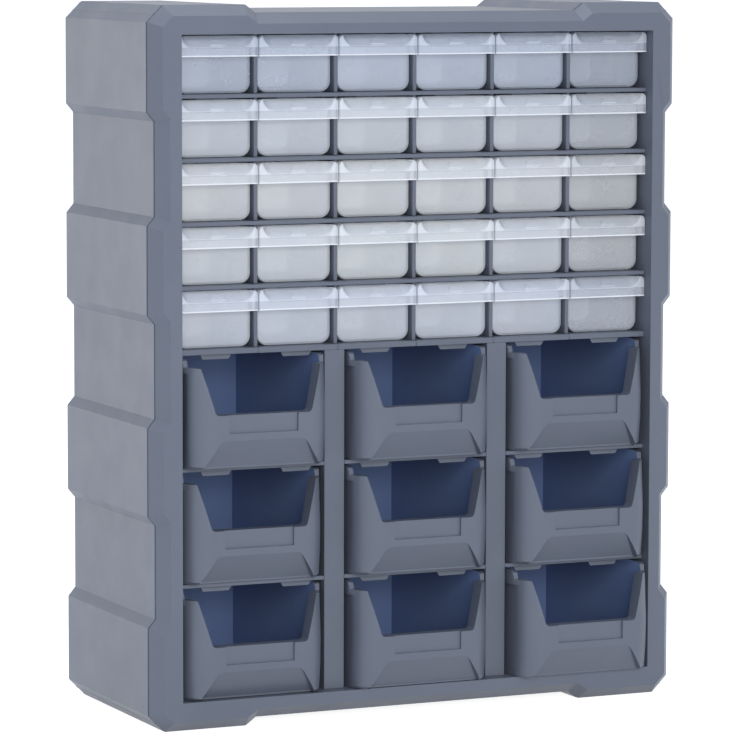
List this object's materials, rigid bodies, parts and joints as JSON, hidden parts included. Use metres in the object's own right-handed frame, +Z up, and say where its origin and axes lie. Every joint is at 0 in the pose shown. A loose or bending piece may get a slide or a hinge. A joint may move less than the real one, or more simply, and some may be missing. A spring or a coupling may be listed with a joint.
{
  "type": "parts bin cabinet",
  "caption": "Moulded plastic parts cabinet: clear sliding drawers with scooped hoods above larger open-fronted bins, in a stepped casing with a bevelled front frame and flat feet.",
  "frame": {"origin": "under the middle of the cabinet as it stands with its bins as shown, on the surface its feet rest on", "axes": "+Z up, -Y out of the front where drawers and bins slide out, +X to the right seen from the front"},
  "size_m": [0.38, 0.1764, 0.47],
  "materials": {
    "case": "satin slate-grey moulded plastic",
    "grid": "satin slate-grey moulded plastic",
    "bin": "satin slate-grey moulded plastic",
    "clear_drawer": "milky translucent plastic with a soft gloss"
  },
  "bodies": {
    "cabinet": {"front_frame": "case", "outer_case": "case", "back_panel": "case", "side_liner_left": "grid", "side_liner_right": "grid", "top_liner": "grid", "bottom_liner": "grid", "main_shelf": "grid", "drawer_shelf_1": "grid", "drawer_shelf_2": "grid", "drawer_shelf_3": "grid", "drawer_shelf_4": "grid", "drawer_divider_1": "grid", "drawer_divider_2": "grid", "drawer_divider_3": "grid", "drawer_divider_4": "grid", "drawer_divider_5": "grid", "bin_post_left": "grid", "bin_post_right": "grid", "bin_shelf_upper": "grid", "bin_shelf_lower": "grid"},
    "drawer_r1c1": {"drawer_r1c1": "clear_drawer"},
    "drawer_r1c2": {"drawer_r1c2": "clear_drawer"},
    "drawer_r1c3": {"drawer_r1c3": "clear_drawer"},
    "drawer_r1c4": {"drawer_r1c4": "clear_drawer"},
    "drawer_r1c5": {"drawer_r1c5": "clear_drawer"},
    "drawer_r1c6": {"drawer_r1c6": "clear_drawer"},
    "drawer_r2c1": {"drawer_r2c1": "clear_drawer"},
    "drawer_r2c2": {"drawer_r2c2": "clear_drawer"},
    "drawer_r2c3": {"drawer_r2c3": "clear_drawer"},
    "drawer_r2c4": {"drawer_r2c4": "clear_drawer"},
    "drawer_r2c5": {"drawer_r2c5": "clear_drawer"},
    "drawer_r2c6": {"drawer_r2c6": "clear_drawer"},
    "drawer_r3c1": {"drawer_r3c1": "clear_drawer"},
    "drawer_r3c2": {"drawer_r3c2": "clear_drawer"},
    "drawer_r3c3": {"drawer_r3c3": "clear_drawer"},
    "drawer_r3c4": {"drawer_r3c4": "clear_drawer"},
    "drawer_r3c5": {"drawer_r3c5": "clear_drawer"},
    "drawer_r3c6": {"drawer_r3c6": "clear_drawer"},
    "drawer_r4c1": {"drawer_r4c1": "clear_drawer"},
    "drawer_r4c2": {"drawer_r4c2": "clear_drawer"},
    "drawer_r4c3": {"drawer_r4c3": "clear_drawer"},
    "drawer_r4c4": {"drawer_r4c4": "clear_drawer"},
    "drawer_r4c5": {"drawer_r4c5": "clear_drawer"},
    "drawer_r4c6": {"drawer_r4c6": "clear_drawer"},
    "drawer_r5c1": {"drawer_r5c1": "clear_drawer"},
    "drawer_r5c2": {"drawer_r5c2": "clear_drawer"},
    "drawer_r5c3": {"drawer_r5c3": "clear_drawer"},
    "drawer_r5c4": {"drawer_r5c4": "clear_drawer"},
    "drawer_r5c5": {"drawer_r5c5": "clear_drawer"},
    "drawer_r5c6": {"drawer_r5c6": "clear_drawer"},
    "bin_r1c1": {"bin_r1c1": "bin"},
    "bin_r1c2": {"bin_r1c2": "bin"},
    "bin_r1c3": {"bin_r1c3": "bin"},
    "bin_r2c1": {"bin_r2c1": "bin"},
    "bin_r2c2": {"bin_r2c2": "bin"},
    "bin_r2c3": {"bin_r2c3": "bin"},
    "bin_r3c1": {"bin_r3c1": "bin"},
    "bin_r3c2": {"bin_r3c2": "bin"},
    "bin_r3c3": {"bin_r3c3": "bin"}
  },
  "joints": [
    {"name": "drawer_r1c1_slide", "type": "slide", "parent": "cabinet", "child": "drawer_r1c1", "axis": [0, -1, 0], "range_m": [0, 0.13]},
    {"name": "drawer_r1c2_slide", "type": "slide", "parent": "cabinet", "child": "drawer_r1c2", "axis": [0, -1, 0], "range_m": [0, 0.13]},
    {"name": "drawer_r1c3_slide", "type": "slide", "parent": "cabinet", "child": "drawer_r1c3", "axis": [0, -1, 0], "range_m": [0, 0.13]},
    {"name": "drawer_r1c4_slide", "type": "slide", "parent": "cabinet", "child": "drawer_r1c4", "axis": [0, -1, 0], "range_m": [0, 0.13]},
    {"name": "drawer_r1c5_slide", "type": "slide", "parent": "cabinet", "child": "drawer_r1c5", "axis": [0, -1, 0], "range_m": [0, 0.13]},
    {"name": "drawer_r1c6_slide", "type": "slide", "parent": "cabinet", "child": "drawer_r1c6", "axis": [0, -1, 0], "range_m": [0, 0.13]},
    {"name": "drawer_r2c1_slide", "type": "slide", "parent": "cabinet", "child": "drawer_r2c1", "axis": [0, -1, 0], "range_m": [0, 0.13]},
    {"name": "drawer_r2c2_slide", "type": "slide", "parent": "cabinet", "child": "drawer_r2c2", "axis": [0, -1, 0], "range_m": [0, 0.13]},
    {"name": "drawer_r2c3_slide", "type": "slide", "parent": "cabinet", "child": "drawer_r2c3", "axis": [0, -1, 0], "range_m": [0, 0.13]},
    {"name": "drawer_r2c4_slide", "type": "slide", "parent": "cabinet", "child": "drawer_r2c4", "axis": [0, -1, 0], "range_m": [0, 0.13]},
    {"name": "drawer_r2c5_slide", "type": "slide", "parent": "cabinet", "child": "drawer_r2c5", "axis": [0, -1, 0], "range_m": [0, 0.13]},
    {"name": "drawer_r2c6_slide", "type": "slide", "parent": "cabinet", "child": "drawer_r2c6", "axis": [0, -1, 0], "range_m": [0, 0.13]},
    {"name": "drawer_r3c1_slide", "type": "slide", "parent": "cabinet", "child": "drawer_r3c1", "axis": [0, -1, 0], "range_m": [0, 0.13]},
    {"name": "drawer_r3c2_slide", "type": "slide", "parent": "cabinet", "child": "drawer_r3c2", "axis": [0, -1, 0], "range_m": [0, 0.13]},
    {"name": "drawer_r3c3_slide", "type": "slide", "parent": "cabinet", "child": "drawer_r3c3", "axis": [0, -1, 0], "range_m": [0, 0.13]},
    {"name": "drawer_r3c4_slide", "type": "slide", "parent": "cabinet", "child": "drawer_r3c4", "axis": [0, -1, 0], "range_m": [0, 0.13]},
    {"name": "drawer_r3c5_slide", "type": "slide", "parent": "cabinet", "child": "drawer_r3c5", "axis": [0, -1, 0], "range_m": [0, 0.13]},
    {"name": "drawer_r3c6_slide", "type": "slide", "parent": "cabinet", "child": "drawer_r3c6", "axis": [0, -1, 0], "range_m": [0, 0.13]},
    {"name": "drawer_r4c1_slide", "type": "slide", "parent": "cabinet", "child": "drawer_r4c1", "axis": [0, -1, 0], "range_m": [0, 0.13]},
    {"name": "drawer_r4c2_slide", "type": "slide", "parent": "cabinet", "child": "drawer_r4c2", "axis": [0, -1, 0], "range_m": [0, 0.13]},
    {"name": "drawer_r4c3_slide", "type": "slide", "parent": "cabinet", "child": "drawer_r4c3", "axis": [0, -1, 0], "range_m": [0, 0.13]},
    {"name": "drawer_r4c4_slide", "type": "slide", "parent": "cabinet", "child": "drawer_r4c4", "axis": [0, -1, 0], "range_m": [0, 0.13]},
    {"name": "drawer_r4c5_slide", "type": "slide", "parent": "cabinet", "child": "drawer_r4c5", "axis": [0, -1, 0], "range_m": [0, 0.13]},
    {"name": "drawer_r4c6_slide", "type": "slide", "parent": "cabinet", "child": "drawer_r4c6", "axis": [0, -1, 0], "range_m": [0, 0.13]},
    {"name": "drawer_r5c1_slide", "type": "slide", "parent": "cabinet", "child": "drawer_r5c1", "axis": [0, -1, 0], "range_m": [0, 0.13]},
    {"name": "drawer_r5c2_slide", "type": "slide", "parent": "cabinet", "child": "drawer_r5c2", "axis": [0, -1, 0], "range_m": [0, 0.13]},
    {"name": "drawer_r5c3_slide", "type": "slide", "parent": "cabinet", "child": "drawer_r5c3", "axis": [0, -1, 0], "range_m": [0, 0.13]},
    {"name": "drawer_r5c4_slide", "type": "slide", "parent": "cabinet", "child": "drawer_r5c4", "axis": [0, -1, 0], "range_m": [0, 0.13]},
    {"name": "drawer_r5c5_slide", "type": "slide", "parent": "cabinet", "child": "drawer_r5c5", "axis": [0, -1, 0], "range_m": [0, 0.13]},
    {"name": "drawer_r5c6_slide", "type": "slide", "parent": "cabinet", "child": "drawer_r5c6", "axis": [0, -1, 0], "range_m": [0, 0.13]},
    {"name": "bin_r1c1_slide", "type": "slide", "parent": "cabinet", "child": "bin_r1c1", "axis": [0, -1, 0], "range_m": [-0.008, 0.131]},
    {"name": "bin_r1c2_slide", "type": "slide", "parent": "cabinet", "child": "bin_r1c2", "axis": [0, -1, 0], "range_m": [-0.007, 0.132]},
    {"name": "bin_r1c3_slide", "type": "slide", "parent": "cabinet", "child": "bin_r1c3", "axis": [0, -1, 0], "range_m": [-0.002, 0.137]},
    {"name": "bin_r2c1_slide", "type": "slide", "parent": "cabinet", "child": "bin_r2c1", "axis": [0, -1, 0], "range_m": [-0.001, 0.138]},
    {"name": "bin_r2c2_slide", "type": "slide", "parent": "cabinet", "child": "bin_r2c2", "axis": [0, -1, 0], "range_m": [-0.006, 0.133]},
    {"name": "bin_r2c3_slide", "type": "slide", "parent": "cabinet", "child": "bin_r2c3", "axis": [0, -1, 0], "range_m": [-0.0065, 0.1325]},
    {"name": "bin_r3c1_slide", "type": "slide", "parent": "cabinet", "child": "bin_r3c1", "axis": [0, -1, 0], "range_m": [-0.002, 0.137]},
    {"name": "bin_r3c2_slide", "type": "slide", "parent": "cabinet", "child": "bin_r3c2", "axis": [0, -1, 0], "range_m": [-0.007, 0.132]},
    {"name": "bin_r3c3_slide", "type": "slide", "parent": "cabinet", "child": "bin_r3c3", "axis": [0, -1, 0], "range_m": [-0.0125, 0.1265]}
  ]
}
